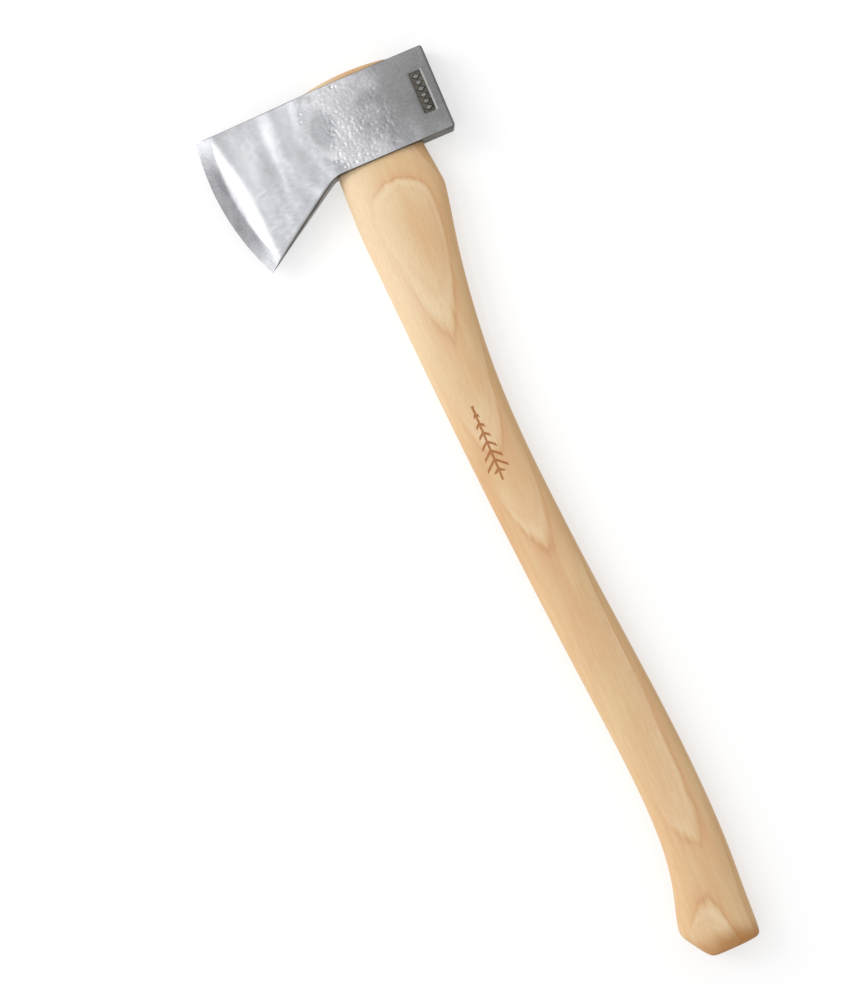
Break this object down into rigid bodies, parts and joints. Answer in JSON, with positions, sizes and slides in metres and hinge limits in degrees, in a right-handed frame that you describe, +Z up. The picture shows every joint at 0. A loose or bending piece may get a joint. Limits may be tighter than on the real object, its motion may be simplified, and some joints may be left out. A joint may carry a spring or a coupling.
{
  "type": "hatchet",
  "caption": "Forged hatchet with a bearded head and square poll, hung on a long swelling hardwood haft and locked by a wooden wedge and a steel cross wedge, for limbing and camp work.",
  "frame": {"origin": "under the centre of the eye, on the plane that the lower cheek rests on", "axes": "+X from the cutting edge to the poll, +Y from the butt of the haft to the top of the head, +Z up out of the upper cheek; the hatchet lies flat on its side"},
  "size_m": [0.159, 0.6114, 0.0222],
  "materials": {
    "forged_steel": "forged cheeks polished over, fine satin grind at the cutting edge, clear oil",
    "haft_wood": "sanded hardwood, clear boiled oil",
    "wedge_wood": "sawn and sanded, unfinished",
    "wedge_steel": "hammered flush and ground"
  },
  "bodies": {
    "root": {"head": "forged_steel", "haft": "haft_wood", "wooden_wedge": "wedge_wood", "steel_wedge": "wedge_steel"}
  },
  "joints": []
}
